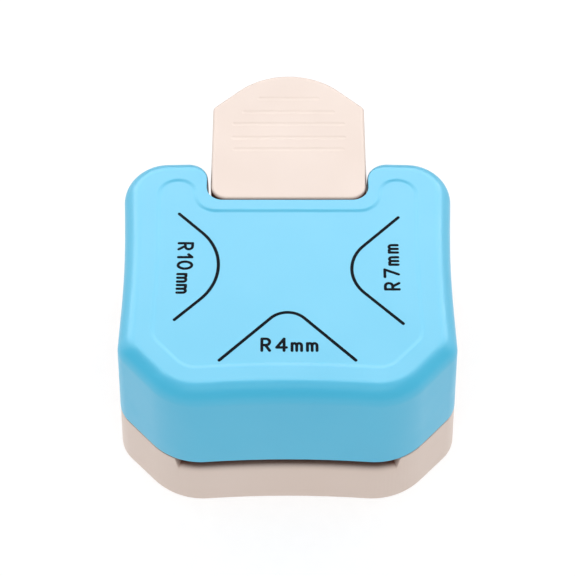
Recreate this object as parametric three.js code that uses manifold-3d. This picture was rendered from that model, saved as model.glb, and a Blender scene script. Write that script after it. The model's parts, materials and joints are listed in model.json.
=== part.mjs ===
// Three-radius corner rounder: a hand lever drives three corner punches through one die set.
// Millimetres, +Z up, +Y towards the lever's grip, +X to the user's right.
// The left die cuts 10 mm corners, the right one 7 mm and the front one 4 mm.
import * as THREE from 'three';
import { mergeVertices } from 'three/addons/utils/BufferGeometryUtils.js';
import Module from 'manifold-3d';

const wasm = await Module();
wasm.setup();

// ---------------------------------------------------------------- driving dimensions

// Housing outline at the cover's shoulder, right half: x, y, corner radius, arc steps. By the
// table each corner has moved by `down` and its radius has grown by `down.r`. A corner with
// `ownRadius` keeps its radius when the outline is inset.
const FRONT_MID = { x: 0, y: -24.96, r: 190, steps: 4, down: { x: 0, y: 0.3, r: 0 } };
const FRONT_CORNER = { x: 19.25, y: -26.35, r: 10.4, steps: 6, down: { x: 0, y: 0.3, r: 0.6 } };
const SIDE_CORNER = {
  x: 28.5, y: -16.2, r: 4.2, steps: 5, down: { x: 0.35, y: 0, r: 2.6 }, ownRadius: true,
};
const SIDE_MID = { x: 28.1, y: 2, r: 200, steps: 4, down: { x: 0.35, y: 0, r: 0 } };
const REAR_CORNER = { x: 29.5, y: 24.35, r: 7.7, steps: 6, down: { x: 0.35, y: 0, r: 0 } };
const LOBE_CORNER = { x: 14.2, y: 24.75, r: 4.0, steps: 5, notch: true };
const NOTCH_CORNER = { x: 14.2, y: 15.05, r: 2.8, steps: 4, notch: true };
const DRAFT = Math.tan(THREE.MathUtils.degToRad(2.35));

// Heights above the table.
const TOP_Z = 32.8;
const SHOULDER_Z = 29.4;
const COVER_EDGE_Z = 12.4;
const BASE_TOP_Z = 12.2;
const SLOT_RIM_Z = 9.7;
const DIE_Z = 9.0;
const PAPER_Z = 10.5;
const GUIDE_Z = 11.5;
const GUIDE_TOP_Z = 13.0;
const FLOOR_TOP_Z = 2.2;

// Cover.
const BEVEL = 3.0;
const NOTCH_BEVEL = 0.15;
const PANEL_DEPTH = 0.14;
// Label panel outline, right half, from the middle of its front edge.
const PANEL_FRONT = { x: 0, y: -19.05, r: 190, steps: 4 };
const PANEL_RIGHT = [
  { x: 16.8, y: -20.25, r: 4.5, steps: 4 },
  { x: 22.55, y: -14.0, r: 3.6, steps: 4 },
  { x: 22.25, y: 2.1, r: 200, steps: 4 },
  { x: 22.8, y: 19.4, r: 3.2, steps: 5 },
  { x: 16.35, y: 19.4, r: 2.8, steps: 5 },
  { x: 16.35, y: 12.5, r: 3.9, steps: 5 },
];
const COVER_WALL = 2.0;
const COVER_CEILING_Z = 31.0;

// Base.
const POCKET_INSET = 1.5;
const PLATE_INSET = 1.8;
const GUIDE_PLATE_INSET = 2.4;
const LEDGE_INSET = 4.0;
const FRONT_SLOT_HALF = 18.95;
const SIDE_SLOT = [-13.8, 14.6];
const APRON = { y0: 19.4, wall: 1.5, y1: 24.6, shelfZ: 13.3, shelfTop: 14.7, top: 20.4, gap: 0.4 };

// Waste door and its hinge.
const DOOR = { half: 15.3, y0: -19.9, y1: 18.4, z0: 0.4, z1: 1.9 };
const DOOR_GAP = 0.3;
const HINGE = { y: 19.0, z: 1.15, knuckleR: 0.95, pinR: 0.6, pinHalf: 17.4 };

// Cutting stations: where the paper's sharp corner stops, and which way the paper enters.
const STATIONS = [
  { name: 'r4', radius: 4, x: 0, y: -7.5, turn: Math.PI / 2 },
  { name: 'r7', radius: 7, x: 13.3, y: 1, turn: Math.PI },
  { name: 'r10', radius: 10, x: -13.3, y: 1, turn: 0 },
];
const PUNCH_BACK = 3.0;
const PUNCH_FLANK = 0.5;
const PUNCH_TIP_Z = 11.8;
const PUNCH_TOP_Z = 21.0;
const PUNCH_CLEARANCE = 0.06;

// Punch carriage.
const HOLDER = { z0: 16.2, z1: 22.4 };
const POST = { x: 5.5, y: 8.0, r: 1.5, top: 22.2 };
const SPRING = { r: 2.6, wire: 0.32, turns: 5, z0: 13.05, z1: 19.55, boreR: 3.3 };
const PAD = { half: 6, y0: -4.2, y1: -0.6, z1: 22.95 };

// Lever and its pivot.
const PIVOT = { y: -16.5, z: 26.5, pinR: 1.5, pinHalf: 15.6 };
const HUB_R = 3.2;
const HUB_HALF = 12.0;
const ARM_HALF = 11.0;
const ARM_TOP_Z = 30.6;
const PRESS_PIN = { y: -2.5, z: 24.5, r: 1.5, half: 7 };
const TONGUE = {
  x: 0.2, half: 13.85, y0: 15.25, shoulder: 36.8, noseCorner: 49.65, tip: 44.7, top: 32.6,
};
const TONGUE_NOSE_R = 13.5;
const TONGUE_TAPER = 0.4;
const TONGUE_TAPER_TOP_Z = 30.0;
const TONGUE_UNDERSIDE = { front: 27.4, tip: 29.4 };
const TONGUE_CORE_Z = 30.4;
const CURTAIN = { half: 11.8, y0: 17.0, y1: 18.6, bottom: 19.8 };

// Pivot frame.
const UPRIGHT = { x0: 12.3, x1: 14.0, y0: -19.6, y1: -13.4 };
const FOOT = { half: 16.4, top: 14.4 };
const FRAME_WALL = { y0: -21.0, y1: -19.9, top: 21.0 };
const CLIP = { x0: 14.1, x1: 14.9, r: 2.7 };

// Screws: positions are given for the right-hand one of each pair.
const COVER_SCREWS = { front: [19.5, -15.8], rear: [20.5, 17.9] };
const PLATE_SCREWS = { front: [10.3, -15.2, FOOT.top], rear: [14.5, 12.5, GUIDE_TOP_Z] };
const COLUMN_R = 3.0;
const BOSS_R = 2.6;
const BOSS_BOTTOM_Z = 13.2;
const COVER_SCREW = { r: 1.1, headR: 2.2, headZ: 1.0, neckZ: 2.5, tipZ: 20.0 };
const PLATE_SCREW = { r: 0.9, headR: 1.5, head: 1.2, tipZ: 9.3 };
const PUNCH_SCREW = { r: 0.8, headR: 1.6, head: 1.0, tipZ: 18.0 };
const RUNNING_GAP = 0.05;
const OVERCUT = 1;

// ---------------------------------------------------------------- outlines

const mirrored = (corner) => ({ ...corner, x: -corner.x });

// The housing's corners at a height; above the shoulder they stay in place.
function housingCorners(withNotch, z = SHOULDER_Z) {
  const fall = Math.max(0, (SHOULDER_Z - z) / SHOULDER_Z);
  const settled = (corner) => (corner.down ? {
    ...corner,
    x: corner.x + corner.down.x * fall,
    y: corner.y + corner.down.y * fall,
    r: corner.r + corner.down.r * fall,
  } : corner);
  const right = [FRONT_CORNER, SIDE_CORNER, SIDE_MID, REAR_CORNER].map(settled);
  if (withNotch) right.push(LOBE_CORNER, NOTCH_CORNER);
  return [settled(FRONT_MID), ...right, ...right.map(mirrored).reverse()];
}

// A closed outline of straight edges and corner arcs, moved inwards by `inset` (and by
// `notchInset` on the edges round the lever's notch). Every inset gives as many points.
function outline(corners, inset = 0, notchInset = inset) {
  const count = corners.length;
  const edges = corners.map((from, i) => {
    const to = corners[(i + 1) % count];
    const length = Math.hypot(to.x - from.x, to.y - from.y);
    const dir = { x: (to.x - from.x) / length, y: (to.y - from.y) / length };
    const shift = from.notch && to.notch ? notchInset : inset;
    return { dir, shift, x: from.x - dir.y * shift, y: from.y + dir.x * shift };
  });
  const points = [];
  corners.forEach((corner, i) => {
    const before = edges[(i + count - 1) % count];
    const after = edges[i];
    const cross = before.dir.x * after.dir.y - before.dir.y * after.dir.x;
    const dot = before.dir.x * after.dir.x + before.dir.y * after.dir.y;
    const turn = Math.atan2(cross, dot);
    const side = Math.sign(turn);
    const along = ((after.x - before.x) * after.dir.y - (after.y - before.y) * after.dir.x) / cross;
    const shift = corner.ownRadius ? 0 : (before.shift + after.shift) / 2;
    const radius = Math.max(corner.r - side * shift, 0.3);
    const reach = along - radius * Math.tan(Math.abs(turn) / 2);
    const centreX = before.x + before.dir.x * reach - side * before.dir.y * radius;
    const centreY = before.y + before.dir.y * reach + side * before.dir.x * radius;
    const start = Math.atan2(before.dir.y, before.dir.x) - (side * Math.PI) / 2;
    for (let step = 0; step <= corner.steps; step += 1) {
      const angle = start + (turn * step) / corner.steps;
      points.push([centreX + radius * Math.cos(angle), centreY + radius * Math.sin(angle)]);
    }
  });
  return points;
}

const housing = (withNotch, inset, notchInset, z) => (
  outline(housingCorners(withNotch, z), inset, notchInset)
);
const draftAt = (z) => -(SHOULDER_Z - z) * DRAFT;
// The outer walls' outline at a height, drafted and moved inwards.
const outerWall = (withNotch, z, inset = 0) => (
  housing(withNotch, draftAt(z) + inset, draftAt(z) * 0.1 + inset, z)
);

// The punch's section: its flanks follow the paper's edges and its front is the round corner.
function punchSection({ radius, x, y, turn }, clearance = 0) {
  const half = radius * Math.SQRT1_2 + PUNCH_FLANK;
  const back = PUNCH_BACK + clearance;
  const side = half + clearance;
  const flank = -side - Math.SQRT2 * clearance;
  const section = [[back, -side], [back, side], [flank, side]];
  const steps = Math.max(6, Math.round(radius));
  const arcRadius = radius - clearance;
  for (let step = 0; step <= steps; step += 1) {
    const angle = Math.PI / 4 - (Math.PI / 2) * (step / steps);
    section.push([arcRadius * Math.cos(angle) - radius * Math.SQRT2, arcRadius * Math.sin(angle)]);
  }
  section.push([flank, -side]);
  return section.map(([u, v]) => [
    x + u * Math.cos(turn) - v * Math.sin(turn),
    y + u * Math.sin(turn) + v * Math.cos(turn),
  ]);
}

// The square pocket that a sheet's corner slides into, open towards the housing's side.
function paperPocket({ x, y, turn }) {
  const depth = 40;
  return [[0, 0], [-depth, depth], [-depth, -depth]].map(([u, v]) => [
    x + u * Math.cos(turn) - v * Math.sin(turn),
    y + u * Math.sin(turn) + v * Math.cos(turn),
  ]);
}

// ---------------------------------------------------------------- solids

function solid(geometry) {
  geometry.deleteAttribute('normal');
  geometry.deleteAttribute('uv');
  const merged = mergeVertices(geometry, 1e-5);
  return new wasm.Manifold(new wasm.Mesh({
    numProp: 3,
    vertProperties: new Float32Array(merged.attributes.position.array),
    triVerts: new Uint32Array(merged.index.array),
  }));
}

const join = (first, ...others) => others.reduce((whole, other) => whole.add(other), first);
const cut = (first, ...others) => others.reduce((whole, other) => whole.subtract(other), first);

function prism(points, z0, z1) {
  const shape = new THREE.Shape(points.map(([x, y]) => new THREE.Vector2(x, y)));
  const geometry = new THREE.ExtrudeGeometry(shape, { depth: z1 - z0, bevelEnabled: false });
  return solid(geometry.translate(0, 0, z0));
}

// A closed solid through rings that all have the same number of points.
function loft(rings) {
  const count = rings[0].points.length;
  const positions = rings.flatMap(({ points, z }) => points.flatMap(([x, y]) => [x, y, z]));
  const indices = [];
  for (let ring = 0; ring + 1 < rings.length; ring += 1) {
    for (let i = 0; i < count; i += 1) {
      const a = ring * count + i;
      const b = ring * count + ((i + 1) % count);
      indices.push(a, b, b + count, a, b + count, a + count);
    }
  }
  const cap = (ring) => THREE.ShapeUtils.triangulateShape(
    rings[ring].points.map(([x, y]) => new THREE.Vector2(x, y)), [],
  ).map((face) => face.map((i) => i + ring * count));
  cap(0).forEach(([a, b, c]) => indices.push(a, c, b));
  cap(rings.length - 1).forEach(([a, b, c]) => indices.push(a, b, c));
  const geometry = new THREE.BufferGeometry();
  geometry.setAttribute('position', new THREE.Float32BufferAttribute(positions, 3));
  geometry.setIndex(indices);
  return solid(geometry);
}

function box(x0, x1, y0, y1, z0, z1) {
  const geometry = new THREE.BoxGeometry(x1 - x0, y1 - y0, z1 - z0);
  return solid(geometry.translate((x0 + x1) / 2, (y0 + y1) / 2, (z0 + z1) / 2));
}

function rod(x, y, r, z0, z1, sides = 20) {
  const geometry = new THREE.CylinderGeometry(r, r, z1 - z0, sides);
  return solid(geometry.rotateX(Math.PI / 2).translate(x, y, (z0 + z1) / 2));
}

function crossRod(y, z, r, x0, x1, sides = 24) {
  const geometry = new THREE.CylinderGeometry(r, r, x1 - x0, sides);
  return solid(geometry.rotateZ(Math.PI / 2).translate((x0 + x1) / 2, y, z));
}

// A side profile given as [y, z] points, extruded along X.
function sideProfile(points, half) {
  const shape = new THREE.Shape(points.map(([y, z]) => new THREE.Vector2(y, z)));
  const geometry = new THREE.ExtrudeGeometry(shape, { depth: 2 * half, bevelEnabled: false });
  const turned = new THREE.Matrix4().set(0, 0, 1, -half, 1, 0, 0, 0, 0, 1, 0, 0, 0, 0, 0, 1);
  return solid(geometry.applyMatrix4(turned));
}

function screw({ x, y, tipZ, seatZ, headZ, r, headR }) {
  const [shankLow, shankHigh] = tipZ < seatZ ? [tipZ, seatZ] : [seatZ, tipZ];
  const [headLow, headHigh] = headZ < seatZ ? [headZ, seatZ] : [seatZ, headZ];
  const whole = join(rod(x, y, headR, headLow, headHigh), rod(x, y, r, shankLow - 0.2, shankHigh));
  const recessDepth = 0.6;
  const recess = [headZ, headZ + Math.sign(seatZ - headZ) * recessDepth].sort((a, b) => a - b);
  const arm = headR * 0.6;
  const slim = headR * 0.16;
  return cut(
    whole,
    box(x - arm, x + arm, y - slim, y + slim, recess[0] - (headZ < seatZ ? OVERCUT : 0),
      recess[1] + (headZ < seatZ ? 0 : OVERCUT)),
    box(x - slim, x + slim, y - arm, y + arm, recess[0] - (headZ < seatZ ? OVERCUT : 0),
      recess[1] + (headZ < seatZ ? 0 : OVERCUT)),
  );
}

const bothSides = (pair) => Object.values(pair).flatMap(([x, y]) => [[x, y], [-x, y]]);
const coverScrewPoints = bothSides(COVER_SCREWS);
const plateScrewPoints = bothSides(PLATE_SCREWS);

// ---------------------------------------------------------------- materials

const finish = (color, roughness, metalness = 0) => () => (
  new THREE.MeshStandardMaterial({ color, roughness, metalness })
);
const bluePlastic = finish(0x8fdcf8, 0.42);
const ivoryPlastic = finish(0xf0e2d8, 0.5);
const carriagePlastic = finish(0x8c9094, 0.6);
const plateSteel = finish(0xb9bcc0, 0.35, 1);
const toolSteel = finish(0x8e9197, 0.28, 1);
const screwSteel = finish(0x9da0a4, 0.32, 1);
const springSteel = finish(0xa7a9ad, 0.3, 1);

// ---------------------------------------------------------------- base

function baseShell() {
  const levels = [[0, 0.5], [0.5, 0], [BASE_TOP_Z, 0]];
  const outside = loft(levels.map(([z, inset]) => ({ points: outerWall(false, z, inset), z })));
  const columns = coverScrewPoints.map(([x, y]) => rod(x, y, COLUMN_R, FLOOR_TOP_Z - OVERCUT, DIE_Z));
  const shell = cut(
    outside,
    prism(housing(false, POCKET_INSET), DIE_Z, BASE_TOP_Z + OVERCUT),
    prism(housing(false, LEDGE_INSET), FLOOR_TOP_Z, DIE_Z + OVERCUT),
  );
  const doorway = box(
    -DOOR.half - DOOR_GAP, DOOR.half + DOOR_GAP,
    DOOR.y0 - DOOR_GAP, HINGE.y + HINGE.knuckleR + DOOR_GAP, -OVERCUT, FLOOR_TOP_Z + OVERCUT,
  );
  const fingerNotch = rod(0, DOOR.y0 - 0.6, 4, -OVERCUT, 1.2);
  return cut(
    join(shell, ...columns, apron()),
    box(-FRONT_SLOT_HALF, FRONT_SLOT_HALF, -40, -18, SLOT_RIM_Z, BASE_TOP_Z + OVERCUT),
    box(20, 40, ...SIDE_SLOT, SLOT_RIM_Z, BASE_TOP_Z + OVERCUT),
    box(-40, -20, ...SIDE_SLOT, SLOT_RIM_Z, BASE_TOP_Z + OVERCUT),
    doorway,
    fingerNotch,
    crossRod(HINGE.y, HINGE.z, HINGE.pinR + RUNNING_GAP, -HINGE.pinHalf - 0.2, HINGE.pinHalf + 0.2, 16),
    ...coverScrewPoints.map(([x, y]) => rod(x, y, COVER_SCREW.r + 0.2, -OVERCUT, DIE_Z + OVERCUT)),
    ...coverScrewPoints.map(([x, y]) => rod(x, y, COVER_SCREW.headR + 0.3, -OVERCUT, COVER_SCREW.neckZ)),
  );
}

// The step at the back that closes the lever's notch below the grip.
function apron() {
  const reach = 19;
  const coverAround = prism(outerWall(true, COVER_EDGE_Z, -APRON.gap), BASE_TOP_Z, APRON.top + OVERCUT);
  const upright = box(-reach, reach, APRON.y0, APRON.y0 + APRON.wall, APRON.shelfZ, APRON.top);
  const shelf = box(-reach, reach, APRON.y0, APRON.y1, APRON.shelfZ, APRON.shelfTop);
  const root = box(-reach, reach, APRON.y1 - APRON.wall, APRON.y1, DIE_Z - OVERCUT, APRON.shelfTop);
  return cut(join(upright, shelf, root), coverAround);
}

function wasteDoor() {
  const plate = box(-DOOR.half, DOOR.half, DOOR.y0, DOOR.y1, DOOR.z0, DOOR.z1);
  const knuckle = crossRod(HINGE.y, HINGE.z, HINGE.knuckleR, -DOOR.half, DOOR.half);
  const ribs = [-9, 0, 9].map(
    (x) => box(x - 0.5, x + 0.5, DOOR.y0 + 2, 16.5, DOOR.z1 - 0.2, DOOR.z1 + 0.8),
  );
  const bore = crossRod(HINGE.y, HINGE.z, HINGE.pinR + RUNNING_GAP, -DOOR.half - 1, DOOR.half + 1, 16);
  return cut(join(plate, knuckle, ...ribs), bore);
}

const wasteDoorPin = () => crossRod(HINGE.y, HINGE.z, HINGE.pinR, -HINGE.pinHalf, HINGE.pinHalf, 16);

// ---------------------------------------------------------------- die set

function plate(inset, z0, z1, clearance) {
  const through = [z0 - OVERCUT, z1 + OVERCUT];
  return cut(
    prism(housing(false, inset), z0, z1),
    ...STATIONS.map((station) => prism(punchSection(station, clearance), ...through)),
    ...[-1, 1].map((side) => rod(side * POST.x, POST.y, POST.r + RUNNING_GAP, ...through)),
    ...coverScrewPoints.map(([x, y]) => rod(x, y, COVER_SCREW.r + 0.2, ...through)),
    ...plateScrewPoints.map(([x, y]) => rod(x, y, PLATE_SCREW.r + 0.1, ...through)),
  );
}

const diePlate = () => plate(PLATE_INSET, DIE_Z, PAPER_Z, PUNCH_CLEARANCE);
const guidePlate = () => plate(GUIDE_PLATE_INSET, GUIDE_Z, GUIDE_TOP_Z, PUNCH_CLEARANCE);

function paperGuide() {
  const pockets = STATIONS.map(
    (station) => prism(paperPocket(station), PAPER_Z - OVERCUT, GUIDE_Z + OVERCUT),
  );
  return cut(plate(PLATE_INSET, PAPER_Z, GUIDE_Z, 0.25), ...pockets);
}

// ---------------------------------------------------------------- punch carriage

function punchHolder() {
  const { z0, z1 } = HOLDER;
  const body = join(
    box(-22.2, -9.0, -7.9, 9.9, z0, z1),
    box(9.0, 20.2, -5.8, 7.8, z0, z1),
    box(-9.5, 9.5, -5.8, 12.2, z0, z1),
    box(-4.8, 4.8, -12.3, -5.0, z0, z1),
  );
  const sockets = STATIONS.map(
    (station) => prism(punchSection(station, 0.03), z0 - OVERCUT, PUNCH_TOP_Z + 0.05),
  );
  const screwHoles = STATIONS.map((station) => (
    rod(...punchScrewPoint(station), PUNCH_SCREW.r + 0.1, z0 + OVERCUT, z1 + OVERCUT)
  ));
  const postHoles = [-1, 1].flatMap((side) => [
    rod(side * POST.x, POST.y, POST.r + RUNNING_GAP, z0 - OVERCUT, z1 + OVERCUT),
    rod(side * POST.x, POST.y, SPRING.boreR, z0 - OVERCUT, SPRING.z1 + 0.05),
  ]);
  return cut(body, ...sockets, ...screwHoles, ...postHoles);
}

function punchScrewPoint({ radius, x, y, turn }) {
  const inwards = PUNCH_BACK / 2 - (0.414 * radius) / 2;
  return [x + inwards * Math.cos(turn), y + inwards * Math.sin(turn)];
}

function punch(station) {
  return cut(
    prism(punchSection(station), PUNCH_TIP_Z, PUNCH_TOP_Z),
    rod(...punchScrewPoint(station), PUNCH_SCREW.r + 0.05, PUNCH_SCREW.tipZ - 0.3, PUNCH_TOP_Z + OVERCUT),
  );
}

function punchScrew(station) {
  const [x, y] = punchScrewPoint(station);
  return screw({ ...PUNCH_SCREW, x, y, seatZ: HOLDER.z1, headZ: HOLDER.z1 + PUNCH_SCREW.head });
}

const pressPad = () => box(-PAD.half, PAD.half, PAD.y0, PAD.y1, HOLDER.z1, PAD.z1);
const guidePost = (side) => rod(side * POST.x, POST.y, POST.r, DIE_Z, POST.top);

function returnSpring(side) {
  const { r, wire, turns, z0, z1 } = SPRING;
  const stepsPerTurn = 14;
  const points = [];
  for (let step = 0; step <= turns * stepsPerTurn; step += 1) {
    const angle = (2 * Math.PI * step) / stepsPerTurn;
    const height = z0 + wire + (z1 - z0 - 2 * wire) * (step / (turns * stepsPerTurn));
    points.push(new THREE.Vector3(
      side * POST.x + r * Math.cos(angle), POST.y + r * Math.sin(angle), height,
    ));
  }
  const section = new THREE.Shape();
  for (let corner = 0; corner < 6; corner += 1) {
    const angle = (Math.PI * corner) / 3;
    const move = corner === 0 ? 'moveTo' : 'lineTo';
    section[move](wire * Math.cos(angle), wire * Math.sin(angle));
  }
  const coil = new THREE.CatmullRomCurve3(points);
  return solid(new THREE.ExtrudeGeometry(section, {
    steps: turns * stepsPerTurn, extrudePath: coil, bevelEnabled: false,
  }));
}

// ---------------------------------------------------------------- lever and pivot

function tongueCorners() {
  const { x, half, y0, shoulder } = TONGUE;
  const nose = { x, y: TONGUE.noseCorner, r: TONGUE_NOSE_R, steps: 12 };
  const side = (sign) => [
    { x: x + sign * half, y: y0, r: 3.0, steps: 4 },
    { x: x + sign * half, y: shoulder, r: 1.2, steps: 3 },
  ];
  return [...side(1), nose, ...side(-1).reverse()];
}

function tongue() {
  const bevel = 0.5;
  const plan = tongueCorners();
  const slab = loft([
    { points: outline(plan, TONGUE_TAPER), z: TONGUE_UNDERSIDE.front },
    { points: outline(plan), z: TONGUE_TAPER_TOP_Z },
    { points: outline(plan), z: TONGUE.top - bevel },
    { points: outline(plan, 0.15), z: TONGUE.top - 0.15 },
    { points: outline(plan, bevel), z: TONGUE.top },
  ]);
  const below = sideProfile([
    [TONGUE.y0 - 5, TONGUE_UNDERSIDE.front - 5], [TONGUE.tip + 5, TONGUE_UNDERSIDE.front - 5],
    [TONGUE.tip + 5, TONGUE_UNDERSIDE.tip], [TONGUE.tip, TONGUE_UNDERSIDE.tip],
    [TONGUE.y0 - 5, TONGUE_UNDERSIDE.front],
  ], 20);
  const core = prism(outline(plan, 2.0), TONGUE_UNDERSIDE.front - 2, TONGUE_CORE_Z);
  const kept = [
    box(-5.6, -4.4, 15, 46, 20, 40),
    box(4.4, 5.6, 15, 46, 20, 40),
    box(-20, 20, 10, 20, 20, 40),
  ];
  return cut(slab, below, cut(core, ...kept));
}

function lever() {
  const arm = sideProfile([
    [PIVOT.y, PIVOT.z - HUB_R], [-7.4, 23.8], [-5.6, 24.0], [0.4, 24.0], [0.4, 25.4], [6, 27.2],
    [TONGUE.y0 + 2, 27.4], [TONGUE.y0 + 2, ARM_TOP_Z], [-12, ARM_TOP_Z], [PIVOT.y, PIVOT.z + HUB_R],
  ], ARM_HALF);
  const hub = crossRod(PIVOT.y, PIVOT.z, HUB_R, -HUB_HALF, HUB_HALF);
  const curtain = box(-CURTAIN.half, CURTAIN.half, CURTAIN.y0, CURTAIN.y1, CURTAIN.bottom, 28.5);
  return cut(
    join(arm, hub, tongue(), curtain),
    crossRod(PIVOT.y, PIVOT.z, PIVOT.pinR + RUNNING_GAP, -HUB_HALF - 1, HUB_HALF + 1),
    crossRod(
      PRESS_PIN.y, PRESS_PIN.z, PRESS_PIN.r + RUNNING_GAP,
      -PRESS_PIN.half - 0.1, PRESS_PIN.half + 0.1,
    ),
    box(-PRESS_PIN.half - 0.1, PRESS_PIN.half + 0.1, -4.2, -0.8, 23, 24.4),
  );
}

const pressPin = () => crossRod(PRESS_PIN.y, PRESS_PIN.z, PRESS_PIN.r, -PRESS_PIN.half, PRESS_PIN.half);
const pivotPin = () => crossRod(PIVOT.y, PIVOT.z, PIVOT.pinR, -PIVOT.pinHalf, PIVOT.pinHalf);

function pivotFrame() {
  const uprights = [-1, 1].flatMap((side) => {
    const [x0, x1] = [side * UPRIGHT.x0, side * UPRIGHT.x1].sort((a, b) => a - b);
    return [
      box(x0, x1, UPRIGHT.y0, UPRIGHT.y1, GUIDE_TOP_Z, PIVOT.z),
      crossRod(PIVOT.y, PIVOT.z, (UPRIGHT.y1 - UPRIGHT.y0) / 2, x0, x1),
    ];
  });
  const foot = box(-FOOT.half, FOOT.half, UPRIGHT.y0, UPRIGHT.y1, GUIDE_TOP_Z, FOOT.top);
  const wall = box(-UPRIGHT.x1, UPRIGHT.x1, FRAME_WALL.y0, UPRIGHT.y0 + 0.2, GUIDE_TOP_Z, FRAME_WALL.top);
  const [screwX, screwY] = PLATE_SCREWS.front;
  return cut(
    join(foot, wall, ...uprights),
    crossRod(PIVOT.y, PIVOT.z, PIVOT.pinR + RUNNING_GAP, -UPRIGHT.x1 - 1, UPRIGHT.x1 + 1),
    ...[-1, 1].map(
      (side) => rod(side * screwX, screwY, PLATE_SCREW.r + 0.1, GUIDE_TOP_Z - 1, FOOT.top + 1),
    ),
  );
}

function pivotClip(side) {
  const [x0, x1] = [side * CLIP.x0, side * CLIP.x1].sort((a, b) => a - b);
  return cut(
    crossRod(PIVOT.y, PIVOT.z, CLIP.r, x0, x1),
    crossRod(PIVOT.y, PIVOT.z, PIVOT.pinR + RUNNING_GAP, x0 - 1, x1 + 1),
    box(x0 - 1, x1 + 1, PIVOT.y - 1.1, PIVOT.y + 1.1, PIVOT.z - CLIP.r - 1, PIVOT.z),
  );
}

// ---------------------------------------------------------------- screws

function coverScrew([x, y]) {
  return screw({
    x, y, r: COVER_SCREW.r, headR: COVER_SCREW.headR,
    tipZ: COVER_SCREW.tipZ, seatZ: COVER_SCREW.neckZ, headZ: COVER_SCREW.headZ,
  });
}

const plateScrew = ([x, y, seatZ]) => (
  screw({ ...PLATE_SCREW, x, y, seatZ, headZ: seatZ + PLATE_SCREW.head })
);

// ---------------------------------------------------------------- cover

function topCover() {
  const bevelSteps = 4;
  const rings = [{ points: outerWall(true, COVER_EDGE_Z), z: COVER_EDGE_Z }];
  for (let step = 0; step <= bevelSteps; step += 1) {
    const angle = (Math.PI / 2) * (step / bevelSteps);
    const spread = 1 - Math.cos(angle);
    rings.push({
      points: housing(true, BEVEL * spread, NOTCH_BEVEL * spread),
      z: SHOULDER_Z + (TOP_Z - SHOULDER_Z) * Math.sin(angle),
    });
  }
  const panelPlan = [PANEL_FRONT, ...PANEL_RIGHT, ...PANEL_RIGHT.map(mirrored).reverse()];
  const panel = prism(outline(panelPlan), TOP_Z - PANEL_DEPTH, TOP_Z + OVERCUT);
  const cavity = prism(housing(true, COVER_WALL), COVER_EDGE_Z - OVERCUT, COVER_CEILING_Z - BEVEL / 2);
  const cavityTop = prism(housing(true, BEVEL, COVER_WALL), COVER_CEILING_Z - BEVEL, COVER_CEILING_Z);
  const bosses = coverScrewPoints.map(([x, y]) => rod(x, y, BOSS_R, BOSS_BOTTOM_Z, COVER_CEILING_Z + 0.5));
  const leverWindow = box(-14.25, 14.25, 12, 18, COVER_EDGE_Z - OVERCUT, COVER_CEILING_Z);
  const plateRelief = box(-19, 19, 12, 22.4, COVER_EDGE_Z - OVERCUT, GUIDE_TOP_Z + 0.3);
  return cut(
    join(cut(loft(rings), panel, cavity, cavityTop, leverWindow, plateRelief), ...bosses),
    ...coverScrewPoints.map(([x, y]) => (
      rod(x, y, COVER_SCREW.r + RUNNING_GAP, BOSS_BOTTOM_Z - OVERCUT, COVER_SCREW.tipZ + 0.4)
    )),
  );
}

// ---------------------------------------------------------------- assembly

// The whole object is centred on X and Y over its own footprint.
const frontY = Math.min(...outerWall(false, 0.5).map(([, y]) => y));
const tipY = Math.max(...outline(tongueCorners()).map(([, y]) => y));
const rounder = new THREE.Group();
rounder.position.y = -(frontY + tipY) / 2;

function addPiece(name, body, material) {
  const mesh = body.getMesh();
  const geometry = new THREE.BufferGeometry();
  geometry.setAttribute('position', new THREE.BufferAttribute(new Float32Array(mesh.vertProperties), 3));
  geometry.setIndex(new THREE.BufferAttribute(new Uint32Array(mesh.triVerts), 1));
  geometry.computeVertexNormals();
  const piece = new THREE.Mesh(geometry, material());
  piece.name = name;
  rounder.add(piece);
}

addPiece('base_shell', baseShell(), ivoryPlastic);
addPiece('waste_door', wasteDoor(), ivoryPlastic);
addPiece('waste_door_pin', wasteDoorPin(), screwSteel);
addPiece('die_plate', diePlate(), plateSteel);
addPiece('paper_guide', paperGuide(), plateSteel);
addPiece('guide_plate', guidePlate(), plateSteel);
addPiece('pivot_frame', pivotFrame(), plateSteel);
addPiece('pivot_pin', pivotPin(), toolSteel);
addPiece('punch_holder', punchHolder(), carriagePlastic);
addPiece('press_pad', pressPad(), toolSteel);
STATIONS.forEach((station) => {
  addPiece(`punch_${station.name}`, punch(station), toolSteel);
  addPiece(`punch_screw_${station.name}`, punchScrew(station), screwSteel);
});
[['left', -1], ['right', 1]].forEach(([word, side]) => {
  addPiece(`guide_post_${word}`, guidePost(side), toolSteel);
  addPiece(`return_spring_${word}`, returnSpring(side), springSteel);
  addPiece(`pivot_clip_${word}`, pivotClip(side), springSteel);
  Object.entries(COVER_SCREWS).forEach(([place, [x, y]]) => {
    addPiece(`cover_screw_${place}_${word}`, coverScrew([side * x, y]), screwSteel);
  });
  Object.entries(PLATE_SCREWS).forEach(([place, [x, y, seatZ]]) => {
    addPiece(`plate_screw_${place}_${word}`, plateScrew([side * x, y, seatZ]), screwSteel);
  });
});
addPiece('lever', lever(), ivoryPlastic);
addPiece('press_pin', pressPin(), toolSteel);
addPiece('top_cover', topCover(), bluePlastic);

export default rounder;
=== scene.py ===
"""Looks of the three-radius corner rounder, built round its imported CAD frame.

Metres in the scene; the shape functions below work in millimetres and are scaled once, at the end.
+Z is up, +Y points towards the lever's grip, +X to the user's right.
"""
import json
import math
from typing import NamedTuple

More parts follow.
